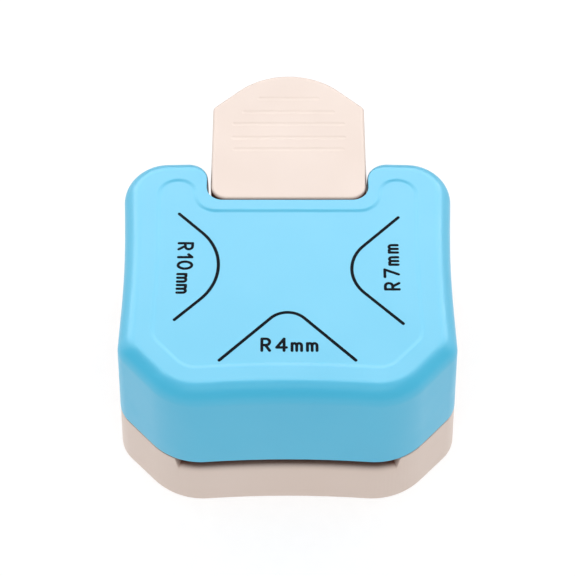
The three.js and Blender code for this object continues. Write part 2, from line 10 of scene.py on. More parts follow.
import bmesh
import bpy
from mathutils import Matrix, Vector


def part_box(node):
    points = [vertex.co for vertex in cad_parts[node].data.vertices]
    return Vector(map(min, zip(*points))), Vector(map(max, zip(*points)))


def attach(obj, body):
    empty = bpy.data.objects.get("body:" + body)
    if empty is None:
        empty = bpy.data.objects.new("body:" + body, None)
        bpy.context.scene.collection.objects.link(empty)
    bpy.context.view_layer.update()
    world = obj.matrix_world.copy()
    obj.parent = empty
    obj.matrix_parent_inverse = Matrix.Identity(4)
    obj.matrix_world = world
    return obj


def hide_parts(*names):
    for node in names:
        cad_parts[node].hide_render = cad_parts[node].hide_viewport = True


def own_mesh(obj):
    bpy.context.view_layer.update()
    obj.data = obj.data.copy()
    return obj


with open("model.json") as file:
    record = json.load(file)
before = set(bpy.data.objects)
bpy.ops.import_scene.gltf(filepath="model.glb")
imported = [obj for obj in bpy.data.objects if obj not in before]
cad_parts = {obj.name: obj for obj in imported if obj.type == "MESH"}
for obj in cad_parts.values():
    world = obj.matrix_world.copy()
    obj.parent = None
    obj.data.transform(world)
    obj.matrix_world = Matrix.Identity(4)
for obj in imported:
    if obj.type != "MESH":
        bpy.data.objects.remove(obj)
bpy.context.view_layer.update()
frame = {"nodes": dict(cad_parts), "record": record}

MM = 0.001


def millimetres(node):
    """A CAD node's lowest and highest corners in millimetres."""
    low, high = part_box(node)
    return [v / MM for v in low], [v / MM for v in high]


# ---------------------------------------------------------------- driving dimensions (mm)

PIVOT_Y = -16.5  # the pivot's place in the housing's plan, which has its own origin
PIVOT_LOW, PIVOT_HIGH = millimetres("pivot_pin")
PLAN_SHIFT = (PIVOT_LOW[1] + PIVOT_HIGH[1]) / 2 - PIVOT_Y
PIVOT_Z = (PIVOT_LOW[2] + PIVOT_HIGH[2]) / 2


class Corner(NamedTuple):
    """A rounded corner of a plan outline.

    `down` is how far x, y and the radius have moved where the outline reaches the table; a corner
    with its own radius keeps it when the outline is inset.
    """
    x: float
    y: float
    r: float
    steps: int
    notch: bool = False
    down: tuple = (0.0, 0.0, 0.0)
    own_radius: bool = False


# Housing outline at the cover's shoulder: the middle of the front, then the right half.
FRONT_MID = Corner(0.0, -24.96, 190.0, 8, down=(0.0, 0.3, 0.0))
RIGHT_HALF = [
    Corner(19.25, -26.35, 10.4, 14, down=(0.0, 0.3, 0.6)),
    Corner(28.5, -16.2, 4.2, 14, down=(0.35, 0.0, 2.6), own_radius=True),
    Corner(28.1, 2.0, 200.0, 8, down=(0.35, 0.0, 0.0)),
    Corner(29.5, 24.35, 7.7, 20, down=(0.35, 0.0, 0.0)),
    Corner(14.2, 24.75, 4.0, 16, notch=True),
    Corner(14.2, 15.05, 2.8, 14, notch=True),
]
# Outline of the label panel sunk into the top, corner for corner with the housing's.
PANEL_FRONT_MID = Corner(0.0, -19.05, 190.0, 8)
PANEL_RIGHT_HALF = [
    Corner(16.8, -20.25, 4.5, 14),
    Corner(22.55, -14.0, 3.6, 14),
    Corner(22.25, 2.1, 200.0, 8),
    Corner(22.8, 19.4, 3.2, 20),
    Corner(16.35, 19.4, 2.8, 16),
    Corner(16.35, 12.5, 3.9, 14),
]
DRAFT = math.tan(math.radians(2.35))
SHOULDER_Z = 29.4
TOP_Z = millimetres("top_cover")[1][2]
COVER_EDGE_Z = millimetres("top_cover")[0][2]
BASE_TOP_Z = COVER_EDGE_Z - 0.2
DIE_Z = millimetres("die_plate")[0][2]
GUIDE_TOP_Z = millimetres("guide_plate")[1][2]
SLOT_RIM_Z = 9.7
FLOOR_TOP_Z = 2.2

BEVEL = 3.0
NOTCH_BEVEL = 0.15
PANEL_DEPTH = 0.14
PANEL_STEP = 0.42  # half the width of the rolled step down to the panel
COVER_WALL = 2.0
CEILING_Z = TOP_Z - 1.8

WALL_EASE = 0.035  # keeps the base's rounded foot within the CAD's size
POCKET_INSET = 1.5
LEDGE_INSET = 4.0
FRONT_SLOT_HALF = 18.95
SIDE_SLOT = (-13.8, 14.6)
APRON_Y = (19.4, 24.6)
APRON_WALL = 1.5
APRON_SHELF = (13.3, 14.7)
APRON_TOP = 20.4
APRON_GAP = 0.4

TONGUE_X = 0.2
TONGUE_HALF = 13.85
TONGUE_FRONT = 15.25
TONGUE_TIP = 44.7
TONGUE_TOP = millimetres("lever")[1][2]
TONGUE_SIDE = [
    Corner(TONGUE_HALF, TONGUE_FRONT, 3.0, 14),
    Corner(TONGUE_HALF, 36.8, 1.2, 8),
]
TONGUE_NOSE = Corner(TONGUE_X, 49.65, 13.5, 40)
TONGUE_TAPER = 0.4
TONGUE_TAPER_TOP_Z = 30.0
# Cross grooves of the grip: distance along the plan and half-length.
GROOVES = [(26.7, 10.1), (29.45, 10.4), (32.7, 10.3), (35.6, 8.5), (38.9, 5.7)]
GROOVE_WIDTH = 0.9
GROOVE_DEPTH = 0.05

# Printed marks: radius, the sharp corner's place in plan and the way it points in degrees.
CORNER_MARKS = [
    ("r4", 4.0, 0.0, -7.5, 90.0),
    ("r7", 7.0, 8.1, -0.2, 180.0),
    ("r10", 10.0, -7.7, 0.6, 0.0),
]
# Radius labels: text, where each letter starts, and where a point along and up the text lies.
LABELS = [
    ("label_r4", "R4mm", (0.1, 2.55, 5.1, 7.65), lambda u, v: (u - 4.6, v - 17.1)),
    ("label_r7", "R7mm", (0.0, 2.6, 5.2, 7.8), lambda u, v: (19.2 - v, u - 4.65)),
    ("label_r10", "R10mm", (0.0, 2.4, 4.0, 6.6, 8.9), lambda u, v: (v - 19.0, 5.65 - u)),
]
MARK_LEG = 15.9
MARK_WIDTH = 0.56
STROKE = 0.5
CAP_HEIGHT = 2.85
X_HEIGHT = 1.95
INK_FILM = 0.015

SPRING_WIRE = 0.32
SPRING_TURNS = 6.5

# Screws that come up through the base's columns into the cover's bosses.
COVER_SCREWS = [(sx * x, y) for x, y in ((19.5, -15.8), (20.5, 17.9)) for sx in (-1, 1)]
BOSS_R = 2.6
PILOT_R = 1.15
PILOT_TOP_Z = 20.4
COLUMN_R = 3.0
CLEARANCE_R = 1.3
HEAD_R = 2.5
HEAD_DEPTH = 2.5


# ---------------------------------------------------------------- outlines

def mirrored(corners):
    return [c._replace(x=-c.x) for c in reversed(corners)]


def housing_corners(with_notch, z):
    """The housing's corners at a height; above the shoulder they stay in place."""
    fall = max(0.0, (SHOULDER_Z - z) / SHOULDER_Z)
    middle, *right = [
        c._replace(x=c.x + c.down[0] * fall, y=c.y + c.down[1] * fall, r=c.r + c.down[2] * fall)
        for c in [FRONT_MID] + (RIGHT_HALF if with_notch else RIGHT_HALF[:4])]
    return [middle] + right + mirrored(right)


def outline(corners, inset=0.0, notch_inset=None):
    """A closed outline of straight edges and corner arcs, moved inwards by an inset.

    Every inset of one outline gives the same number of points, so insets can be lofted.
    """
    notch_inset = inset if notch_inset is None else notch_inset
    edges = []
    for corner, following in zip(corners, corners[1:] + corners[:1]):
        length = math.hypot(following.x - corner.x, following.y - corner.y)
        dx, dy = (following.x - corner.x) / length, (following.y - corner.y) / length
        shift = notch_inset if corner.notch and following.notch else inset
        edges.append((corner.x - dy * shift, corner.y + dx * shift, dx, dy, shift))
    points = []
    for i, corner in enumerate(corners):
        bx, by, bdx, bdy, bshift = edges[i - 1]
        ax, ay, adx, ady, ashift = edges[i]
        cross = bdx * ady - bdy * adx
        turn = math.atan2(cross, bdx * adx + bdy * ady)
        side = 1 if turn > 0 else -1
        along = ((ax - bx) * ady - (ay - by) * adx) / cross
        shift = 0.0 if corner.own_radius else (bshift + ashift) / 2
        radius = max(corner.r - side * shift, 0.3)
        reach = along - radius * math.tan(abs(turn) / 2)
        cx = bx + bdx * reach - side * bdy * radius
        cy = by + bdy * reach + side * bdx * radius
        start = math.atan2(bdy, bdx) - side * math.pi / 2
        for step in range(corner.steps + 1):
            angle = start + turn * step / corner.steps
            points.append((cx + radius * math.cos(angle), cy + radius * math.sin(angle)))
    return points


def housing(with_notch, inset=0.0, notch_inset=None, z=SHOULDER_Z):
    return outline(housing_corners(with_notch, z), inset, notch_inset)


def draft_at(z):
    return -(SHOULDER_Z - z) * DRAFT


def outer_wall(with_notch, z, inset=0.0):
    """The outer walls' outline at a height, drafted and moved inwards."""
    return housing(with_notch, draft_at(z) + inset, draft_at(z) * 0.1 + inset, z)


def panel_outline(inset):
    return outline([PANEL_FRONT_MID] + PANEL_RIGHT_HALF + mirrored(PANEL_RIGHT_HALF), inset)


def tongue_outline(inset=0.0):
    right = [c._replace(x=TONGUE_X + c.x) for c in TONGUE_SIDE]
    left = [c._replace(x=TONGUE_X - c.x) for c in reversed(TONGUE_SIDE)]
    return outline(right + [TONGUE_NOSE] + left, inset)


def quarter(steps):
    """The angles of a quarter turn, in equal steps."""
    return [math.pi / 2 * step / steps for step in range(steps + 1)]


def smoothstep(value, low, high):
    t = min(max((value - low) / (high - low), 0.0), 1.0)
    return t * t * (3 - 2 * t)


# ---------------------------------------------------------------- meshes

def to_scene(x, y, z):
    return Vector((x * MM, (y + PLAN_SHIFT) * MM, z * MM))


def new_object(name, bm):
    bmesh.ops.remove_doubles(bm, verts=bm.verts, dist=1e-8)
    bmesh.ops.recalc_face_normals(bm, faces=bm.faces)
    mesh = bpy.data.meshes.new(name)
    bm.to_mesh(mesh)
    bm.free()
    obj = bpy.data.objects.new(name, mesh)
    bpy.context.scene.collection.objects.link(obj)
    return obj


def skinned(name, loops):
    """A closed solid through loops of points with equal counts, with a face over each end."""
    bm = bmesh.new()
    rows = [[bm.verts.new(to_scene(*point)) for point in loop] for loop in loops]
    count = len(rows[0])
    for low, high in zip(rows, rows[1:]):
        for i in range(count):
            j = (i + 1) % count
            bm.faces.new((low[i], low[j], high[j], high[i]))
    bm.faces.new(list(reversed(rows[0])))
    bm.faces.new(rows[-1])
    return new_object(name, bm)


def loft(name, rings):
    """A closed solid through rings of plan points; a ring is (points, z) or (points, [z, ...])."""
    loops = []
    for points, z in rings:
        heights = z if isinstance(z, list) else [z] * len(points)
        loops.append([(x, y, h) for (x, y), h in zip(points, heights)])
    return skinned(name, loops)


def prism(name, points, z0, z1):
    return loft(name, [(points, z0), (points, z1)])


def box(name, x0, x1, y0, y1, z0, z1):
    return prism(name, [(x0, y0), (x1, y0), (x1, y1), (x0, y1)], z0, z1)


def disc(x, y, r, steps=48):
    angles = [2 * math.pi * i / steps for i in range(steps)]
    return [(x + r * math.cos(a), y + r * math.sin(a)) for a in angles]


def rod(name, x, y, r, z0, z1):
    return prism(name, disc(x, y, r), z0, z1)


def across(name, profile, half):
    """A side profile of (y, z) points, extruded along X from -half to half."""
    return skinned(name, [[(x, y, z) for y, z in profile] for x in (-half, half)])


def cross_rod(name, y, z, r, half):
    return across(name, disc(y, z, r), half)


def apply_modifiers(obj):
    depsgraph = bpy.context.evaluated_depsgraph_get()
    mesh = bpy.data.meshes.new_from_object(obj.evaluated_get(depsgraph))
    obj.modifiers.clear()
    old = obj.data
    obj.data = mesh
    bpy.data.meshes.remove(old)


def combine(target, operation, *others):
    """Cuts the others from the target, or joins them to it."""
    for other in others:
        step = target.modifiers.new("combine", "BOOLEAN")
        step.operation = operation
        step.solver = "EXACT"
        step.object = other
        apply_modifiers(target)
        mesh = other.data
        bpy.data.objects.remove(other)
        bpy.data.meshes.remove(mesh)
    return target


def soften(obj, width, segments=2, angle=40.0):
    """Small rounded edges where faces meet at more than an angle."""
    edge = obj.modifiers.new("edges", "BEVEL")
    edge.width = width * MM
    edge.segments = segments
    edge.limit_method = "ANGLE"
    edge.angle_limit = math.radians(angle)
    edge.miter_outer = "MITER_ARC"
    edge.use_clamp_overlap = True
    apply_modifiers(obj)


def shade(obj, sharp_angle=38.0):
    """Smooth shading, sharp where the shape is, with flat faces kept flat."""
    mesh = obj.data
    mesh.polygons.foreach_set("use_smooth", [True] * len(mesh.polygons))
    mesh.set_sharp_from_angle(angle=math.radians(sharp_angle))
    normals = obj.modifiers.new("normals", "WEIGHTED_NORMAL")
    normals.keep_sharp = True
    normals.weight = 80


# ---------------------------------------------------------------- materials

def linear(value):
    value /= 255
    return value / 12.92 if value <= 0.04045 else ((value + 0.055) / 1.055) ** 2.4


def colour(r, g, b):
    """Screen colour (0 to 255) to the linear colour that a shader wants."""
    return (linear(r), linear(g), linear(b), 1.0)


class Nodes:
    """A small builder for one procedural material."""

    def __init__(self, name):
        self.material = bpy.data.materials.new(name)
        self.material.use_nodes = True
        self.tree = self.material.node_tree
        self.shader = self.tree.nodes["Principled BSDF"]
        self.coords = self.tree.nodes.new("ShaderNodeTexCoord").outputs["Object"]

    def feed(self, socket, value):
        """Links a socket, or sets a plain value."""
        if isinstance(value, bpy.types.NodeSocket):
            self.tree.links.new(value, socket)
        else:
            socket.default_value = value

    def node(self, kind, inputs=None, **settings):
        made = self.tree.nodes.new(kind)
        for key, value in settings.items():
            setattr(made, key, value)
        for key, value in (inputs or {}).items():
            self.feed(made.inputs[key], value)
        return made

    def scaled(self, scale):
        return self.node("ShaderNodeMapping", {"Vector": self.coords, "Scale": scale}).outputs[0]

    def noise(self, scale, detail=3.0, roughness=0.5, vector=None):
        inputs = {"Scale": scale, "Detail": detail, "Roughness": roughness}
        inputs["Vector"] = self.coords if vector is None else vector
        return self.node("ShaderNodeTexNoise", inputs).outputs["Fac"]

    def ramp(self, value, low, high, start=0.0, end=1.0):
        inputs = {"Value": value, "From Min": start, "From Max": end, "To Min": low, "To Max": high}
        return self.node("ShaderNodeMapRange", inputs).outputs["Result"]

    def mix(self, factor, first, second):
        made = self.node("ShaderNodeMix", data_type="RGBA")
        for index, value in ((0, factor), (6, first), (7, second)):
            self.feed(made.inputs[index], value)
        return made.outputs[2]

    def math(self, operation, first, second):
        made = self.node("ShaderNodeMath", {0: first, 1: second}, operation=operation)
        return made.outputs[0]

    def bump(self, height, strength, distance, under=None):
        inputs = {"Height": height, "Strength": strength, "Distance": distance * MM}
        if under is not None:
            inputs["Normal"] = under
        return self.node("ShaderNodeBump", inputs).outputs["Normal"]

    def edge_wear_and_highlight(self, spread, low, high):
        """Rises from 0 to 1 at convex edges, and stays 0 on level faces; it places painted edge
        highlights on the plastics and rubbed wear on the steels.
        """
        geometry = self.node("ShaderNodeNewGeometry")
        facing = self.node("ShaderNodeSeparateXYZ", {0: geometry.outputs["Normal"]})
        tilted = self.ramp(facing.outputs["Z"], 1.0, 0.0, 0.84, 0.88)
        patch = self.noise(900.0, 4.0)
        lifted = self.math("ADD", geometry.outputs["Pointiness"], self.ramp(patch, -spread, spread))
        return self.math("MULTIPLY", self.ramp(lifted, 0.0, 1.0, low, high), tilted)

    def gap_shade_mask(self, reach):
        """Mask for painted shade: 0 in the open and at the foot, rising to 1 far into narrow gaps.
        """
        place = self.node("ShaderNodeSeparateXYZ", {0: self.coords})
        raised = self.ramp(place.outputs["Z"], 0.0, 1.0, 0.004, 0.007)
        open_sky = self.node("ShaderNodeAmbientOcclusion", {"Distance": reach}, samples=8)
        gap = self.ramp(open_sky.outputs["AO"], 1.0, 0.0, 0.3, 0.85)
        return self.math("MULTIPLY", gap, raised)

    def set(self, **sockets):
        for key, value in sockets.items():
            self.feed(self.shader.inputs[key.replace("_", " ")], value)
        return self.material


def moulded_plastic(name, base, shadow, edge_highlight_colour, gap_shade_colour, roughness, grain):
    """Injection-moulded ABS: faint flow mottling, a fine spark-eroded grain, a painted highlight on
    convex edges and painted shade in narrow gaps.

    The lighter edge colour is the painted highlight on convex edges, and the darker gap colour is
    the painted shade in narrow gaps.
    """
    n = Nodes(name)
    flow = n.noise(55.0, 2.0)
    fine = n.noise(2600.0, 2.0)
    body = n.mix(n.ramp(flow, 0.0, 1.0, 0.3, 0.7), base, shadow)
    # painted highlight: a lighter colour along convex edges, where light catches them
    body = n.mix(n.math("MULTIPLY", n.edge_wear_and_highlight(0.01, 0.53, 0.62), 0.35), body, edge_highlight_colour)
    # painted shade: a darker colour where ambient occlusion finds narrow gaps
    body = n.mix(n.gap_shade_mask(0.005), body, gap_shade_colour)
    rubbed = n.noise(140.0, 4.0, 0.6)
    sheen = n.ramp(rubbed, roughness - 0.03, roughness + 0.05, 0.35, 0.7)
    rough = n.math("ADD", sheen, n.ramp(fine, -0.02, 0.02))
    normal = n.bump(fine, grain, 0.012)
    normal = n.bump(n.noise(30.0, 1.0), 0.05, 0.15, under=normal)
    return n.set(Base_Color=body, Roughness=rough, Normal=normal, IOR=1.5, Specular_IOR_Level=0.62)


def blue_plastic():
    # the lighter edge colour is a painted highlight, the dark blue is painted shade in gaps
    return moulded_plastic(
        "blue_plastic", base=colour(72, 189, 225), shadow=colour(68, 186, 223),
        edge_highlight_colour=colour(170, 222, 242), gap_shade_colour=colour(20, 80, 110), roughness=0.34, grain=0.16)


def ivory_plastic():
    # the lighter edge colour is a painted highlight, the warm brown is painted shade in gaps
    return moulded_plastic(
        "ivory_plastic", base=colour(223, 204, 192), shadow=colour(221, 201, 188),
        edge_highlight_colour=colour(236, 224, 216), gap_shade_colour=colour(112, 62, 38), roughness=0.42, grain=0.16)


def carriage_plastic():
    # the lighter edge colour is a painted highlight, the dark grey is painted shade in gaps
    return moulded_plastic(
        "carriage_plastic", base=colour(120, 124, 130), shadow=colour(110, 114, 120),
        edge_highlight_colour=colour(150, 152, 156), gap_shade_colour=colour(70, 72, 76), roughness=0.55, grain=0.5)


def ground_steel(name, base, dark, roughness, stretch):
    """Steel with fine straight grinding lines, faint stains and brighter rubbed edges."""
    n = Nodes(name)
    lines = n.noise(700.0, 3.0, 0.6, vector=n.scaled(stretch))
    stain = n.noise(160.0, 4.0, 0.6)
    body = n.mix(n.ramp(stain, 0.0, 1.0, 0.35, 0.7), base, dark)
    body = n.mix(n.math("MULTIPLY", n.edge_wear_and_highlight(0.01, 0.53, 0.6), 0.6), body, colour(225, 226, 228))
    rough = n.math("ADD", n.ramp(lines, roughness - 0.08, roughness + 0.1, 0.3, 0.7),
                   n.ramp(stain, -0.03, 0.06, 0.3, 0.7))
    return n.set(Base_Color=body, Metallic=1.0, Roughness=rough, Normal=n.bump(lines, 0.25, 0.01))


def plate_steel():
    return ground_steel(
        "plate_steel", colour(196, 198, 202), colour(172, 174, 178),
        roughness=0.3, stretch=(0.05, 1.0, 1.0))


def tool_steel():
    return ground_steel(
        "tool_steel", colour(150, 152, 157), colour(122, 124, 129),
        roughness=0.24, stretch=(1.0, 1.0, 0.06))


def screw_steel():
    return ground_steel(
        "screw_steel", colour(188, 190, 194), colour(160, 160, 162),
        roughness=0.22, stretch=(1.0, 1.0, 1.0))


def spring_steel():
    return ground_steel(
        "spring_steel", colour(165, 166, 170), colour(138, 138, 142),
        roughness=0.26, stretch=(1.0, 1.0, 0.2))


def printed_ink():
    """Black pad-printed ink with a slightly uneven film."""
    n = Nodes("printed_ink")
    film = n.noise(1500.0, 3.0)
    body = n.mix(n.ramp(film, 0.0, 1.0, 0.3, 0.7), colour(4, 10, 16), colour(10, 18, 26))
    rough = n.ramp(film, 0.5, 0.65, 0.3, 0.7)
    normal = n.bump(film, 0.2, 0.004)
    return n.set(Base_Color=body, Roughness=rough, Normal=normal, Specular_IOR_Level=0.04)


def dress(obj, material):
    obj.data.materials.clear()
    obj.data.materials.append(material)


# ---------------------------------------------------------------- pieces

def top_cover(material):
    """The blue shell: drafted walls, a rolled shoulder, a flat rim and a shallow label panel."""
    lip = 0.35
    rings = [(housing(True, COVER_WALL), CEILING_Z - BEVEL / 2)]
    rings.append((housing(True, COVER_WALL), COVER_EDGE_Z))
    for angle in quarter(6):
        z = COVER_EDGE_Z + lip * (1 - math.cos(angle))
        rings.append((outer_wall(True, z, lip * (1 - math.sin(angle))), z))
    for step in range(1, 4):
        z = COVER_EDGE_Z + lip + (SHOULDER_Z - COVER_EDGE_Z - lip) * step / 4
        rings.append((outer_wall(True, z), z))
    for angle in quarter(20):
        spread = 1 - math.cos(angle)
        z = SHOULDER_Z + (TOP_Z - SHOULDER_Z) * math.sin(angle)
        rings.append((housing(True, BEVEL * spread, NOTCH_BEVEL * spread), z))
    # rings in the flat rim and the flat panel keep the shading of the rolled edges beside them
    rings.append((housing(True, BEVEL + 0.3, NOTCH_BEVEL + 0.2), TOP_Z))
    for outwards in (1.0, 0.6):
        rings.append((panel_outline(-outwards), TOP_Z))
    for step in range(9):
        inwards = PANEL_STEP * (step / 4 - 1)
        drop = PANEL_DEPTH * smoothstep(inwards, -PANEL_STEP, PANEL_STEP)
        rings.append((panel_outline(inwards), TOP_Z - drop))
    for inwards in (0.55, 0.75):
        rings.append((panel_outline(inwards), TOP_Z - PANEL_DEPTH))
    shell = loft("cover", rings)
    inside = loft("cover_inside", [
        (housing(True, BEVEL + 0.6, COVER_WALL), CEILING_Z),
        (housing(True, COVER_WALL), CEILING_Z - BEVEL / 2 + 0.02),
        (housing(True, COVER_WALL), CEILING_Z - BEVEL),
    ])
    combine(shell, "DIFFERENCE", inside)
    bosses = [rod("boss", x, y, BOSS_R, GUIDE_TOP_Z + 0.2, CEILING_Z + 0.4)
              for x, y in COVER_SCREWS]
    combine(shell, "UNION", *bosses)
    cuts = [rod("pilot", x, y, PILOT_R, GUIDE_TOP_Z - 1, PILOT_TOP_Z) for x, y in COVER_SCREWS]
    # the window lets the lever through the notch's wall; the relief clears the base's apron
    under = COVER_EDGE_Z - 1
    window_half, relief_half = 14.25, 19
    cuts.append(box("window", -window_half, window_half, 12, 18, under, CEILING_Z))
    cuts.append(box("relief", -relief_half, relief_half, 12, 22.4, under, GUIDE_TOP_Z + 0.3))
    combine(shell, "DIFFERENCE", *cuts)
    shade(shell)
    dress(shell, material)
    return shell


def edge_parts(points, spacing):
    """How many parts each edge of an outline is divided into."""
    return [max(1, math.ceil(math.hypot(x1 - x0, y1 - y0) / spacing))
            for (x0, y0), (x1, y1) in zip(points, points[1:] + points[:1])]


def divided(points, parts):
    result = []
    for (x0, y0), (x1, y1), n in zip(points, points[1:] + points[:1], parts):
        result += [(x0 + (x1 - x0) * i / n, y0 + (y1 - y0) * i / n) for i in range(n)]
    return result


def slot_depth(x, y):
    """1 in a paper slot, 0 where the base's wall reaches up to the cover."""
    ramp = 0.3
    front = smoothstep(FRONT_SLOT_HALF - abs(x), -ramp, ramp) if y < -18 else 0.0
    side = 0.0
    if abs(x) > 22:
        side = smoothstep(min(y - SIDE_SLOT[0], SIDE_SLOT[1] - y), -ramp, ramp)
    return max(front, side)


def base_shell(material):
    """The ivory base: rounded foot edge, drafted wall and three lowered, rolled slot rims."""
    parts = edge_parts(housing(False), 0.22)

    def ring(inset, z=SHOULDER_Z):
        return divided(housing(False, inset, z=z), parts)

    depth = [slot_depth(x, y) for x, y in ring(0.0)]

    def rim(rolled, wall):
        return [(1 - d) * wall + d * rolled for d in depth]

    def wall_inset(z):
        return draft_at(z) + WALL_EASE

    foot = 0.5
    rings = [
        (ring(LEDGE_INSET), FLOOR_TOP_Z),
        (ring(LEDGE_INSET), DIE_Z),
        (ring(POCKET_INSET), DIE_Z),
        (ring(POCKET_INSET), rim(SLOT_RIM_Z - 0.25, BASE_TOP_Z)),
        (ring(POCKET_INSET - 0.25), rim(SLOT_RIM_Z, BASE_TOP_Z)),
    ]
    roll_rim, roll_wall = 1.1, 0.25
    for angle in quarter(8):
        low = SLOT_RIM_Z - roll_rim * (1 - math.cos(angle))
        high = BASE_TOP_Z - roll_wall * (1 - math.cos(angle))
        heights = rim(low, high)
        outer = wall_inset(BASE_TOP_Z)
        inset_low = outer + roll_rim * (1 - math.sin(angle))
        inset_high = outer + roll_wall * (1 - math.sin(angle))
        far, near = ring(inset_low, low), ring(inset_high, high)
        points = [(nx + (fx - nx) * d, ny + (fy - ny) * d)
                  for (fx, fy), (nx, ny), d in zip(far, near, depth)]
        rings.append((points, heights))
    for z in (7.5, 5.0, 2.5):
        rings.append((ring(wall_inset(z), z), z))
    for angle in quarter(6):
        z = foot * (1 - math.sin(angle))
        rings.append((ring(wall_inset(z) + foot * (1 - math.cos(angle)), z), z))
    shell = loft("base", rings)
    columns = [rod("column", x, y, COLUMN_R, FLOOR_TOP_Z - 1, DIE_Z) for x, y in COVER_SCREWS]
    combine(shell, "UNION", apron(), *columns)
    door_low, door_high = millimetres("waste_door")
    pin_low, pin_high = millimetres("waste_door_pin")
    pin_y = (pin_low[1] + pin_high[1]) / 2 - PLAN_SHIFT
    pin_z = (pin_low[2] + pin_high[2]) / 2
    gap = 0.3
    door_front, door_back = door_low[1] - PLAN_SHIFT, door_high[1] - PLAN_SHIFT
    cuts = [
        box("doorway", door_low[0] - gap, door_high[0] + gap,
            door_front - gap, door_back + gap, -1, FLOOR_TOP_Z + 1),
        rod("finger_notch", 0, door_front - 0.6, 4.0, -1, 1.2),
        cross_rod("pin_hole", pin_y, pin_z, 0.62, pin_high[0] + 0.2),
    ]
    for x, y in COVER_SCREWS:
        cuts.append(rod("screw_hole", x, y, CLEARANCE_R, -1, DIE_Z + 1))
        cuts.append(rod("counterbore", x, y, HEAD_R, -1, HEAD_DEPTH))
    combine(shell, "DIFFERENCE", *cuts)
    shade(shell)
    dress(shell, material)
    return shell


def coil_spring(node, material):
    """A compression spring with closed, flattened end turns."""
    low, high = millimetres(node)
    wire, turns = SPRING_WIRE, SPRING_TURNS
    per_turn, sides = 24, 8
    centre_x = (low[0] + high[0]) / 2
    centre_y = (low[1] + high[1]) / 2 - PLAN_SHIFT
    radius = (high[0] - low[0]) / 2 - wire
    rise = high[2] - low[2] - 2 * wire

    def lift(step):
        """Low pitch in the first and last turn, even pitch between."""
        turn = step / per_turn
        closed = 2 * wire / rise
        if turn < 1:
            return closed * turn
        if turn > turns - 1:
            return 1 - closed * (turns - turn)
        return closed + (1 - 2 * closed) * (turn - 1) / (turns - 2)

    loops = []
    for step in range(int(turns * per_turn) + 1):
        angle = 2 * math.pi * step / per_turn
        height = low[2] + wire + rise * lift(step)
        loop = []
        for side in range(sides):
            around = 2 * math.pi * side / sides
            out = radius + wire * math.cos(around)
            loop.append((centre_x + out * math.cos(angle), centre_y + out * math.sin(angle),
                         height + wire * math.sin(around)))
        loops.append(loop)
    coil = skinned(node.replace("return_spring", "coil"), loops)
    shade(coil)
    dress(coil, material)
    return coil


def apron():
    """The step at the back that closes the notch below the grip."""
    reach = 19.0
    y0, y1 = APRON_Y
    step = across("apron", [
        (y0, APRON_SHELF[0]), (y1 - APRON_WALL, APRON_SHELF[0]), (y1 - APRON_WALL, DIE_Z - 1),
        (y1, DIE_Z - 1), (y1, APRON_SHELF[1]), (y0 + APRON_WALL, APRON_SHELF[1]),
        (y0 + APRON_WALL, APRON_TOP), (y0, APRON_TOP),
    ], reach)
    around = prism("around", outer_wall(True, COVER_EDGE_Z, -APRON_GAP), BASE_TOP_Z, APRON_TOP + 1)
    combine(step, "DIFFERENCE", around)
    soften(step, 0.3)
    return step


def lever(material):
    """The ivory lever: a grip with a rolled edge and cross grooves, its inner arm and curtain."""
    roll = 0.6
    under_front, under_tip = 27.4, 29.4
    rings = [(tongue_outline(TONGUE_TAPER), under_front), (tongue_outline(), TONGUE_TAPER_TOP_Z)]
    for angle in quarter(10):
        z = TONGUE_TOP - roll * (1 - math.sin(angle))
        rings.append((tongue_outline(roll * (1 - math.cos(angle))), z))
    for inset in (roll + 0.3, roll + 0.6):
        rings.append((tongue_outline(inset), TONGUE_TOP))
    grip = loft("lever", rings)
    below = across("below", [
        (TONGUE_FRONT - 5, under_front - 5), (TONGUE_TIP + 5, under_front - 5),
        (TONGUE_TIP + 5, under_tip), (TONGUE_TIP, under_tip), (TONGUE_FRONT - 5, under_front),
    ], 20)
    combine(grip, "DIFFERENCE", below)
    # the grip is hollow from below, but for two ribs and its root
    grip_wall, hollow_top = 2.0, 30.4
    core = prism("core", tongue_outline(grip_wall), under_front - 2, hollow_top)
    left_rib, right_rib, root = (-5.6, -4.4, 15, 46), (4.4, 5.6, 15, 46), (-20, 20, 10, 20)
    kept = [box("kept", *extent, 20, 40) for extent in (left_rib, right_rib, root)]
    combine(core, "DIFFERENCE", *kept)
    combine(grip, "DIFFERENCE", core)
    combine(grip, "DIFFERENCE", *[groove(y, half) for y, half in GROOVES])
    hub_r, hub_half, arm_half = 3.2, 12.0, 11.0
    arm = across("arm", [
        (PIVOT_Y, PIVOT_Z - hub_r), (-7.4, 23.8), (-5.6, 24.0), (0.4, 24.0), (0.4, 25.4), (6, 27.2),
        (TONGUE_FRONT + 2, 27.4), (TONGUE_FRONT + 2, 30.6), (-12, 30.6), (PIVOT_Y, PIVOT_Z + hub_r),
    ], arm_half)
    hub = cross_rod("hub", PIVOT_Y, PIVOT_Z, hub_r, hub_half)
    curtain = box("curtain", -11.8, 11.8, 17.0, 18.6, 19.8, 28.5)
    combine(grip, "UNION", arm, hub, curtain)
    press_low, press_high = millimetres("press_pin")
    press_y = (press_low[1] + press_high[1]) / 2 - PLAN_SHIFT
    press_z = (press_low[2] + press_high[2]) / 2
    pivot_bore_r, press_bore_r = 1.55, 1.56
    cuts = [
        cross_rod("bore", PIVOT_Y, PIVOT_Z, pivot_bore_r, hub_half + 1),
        cross_rod("press_bore", press_y, press_z, press_bore_r, press_high[0] + 0.1),
        box("press_mouth", -7.1, 7.1, -4.2, -0.8, 23, 24.4),
    ]
    combine(grip, "DIFFERENCE", *cuts)
    shade(grip)
    dress(grip, material)
    return grip


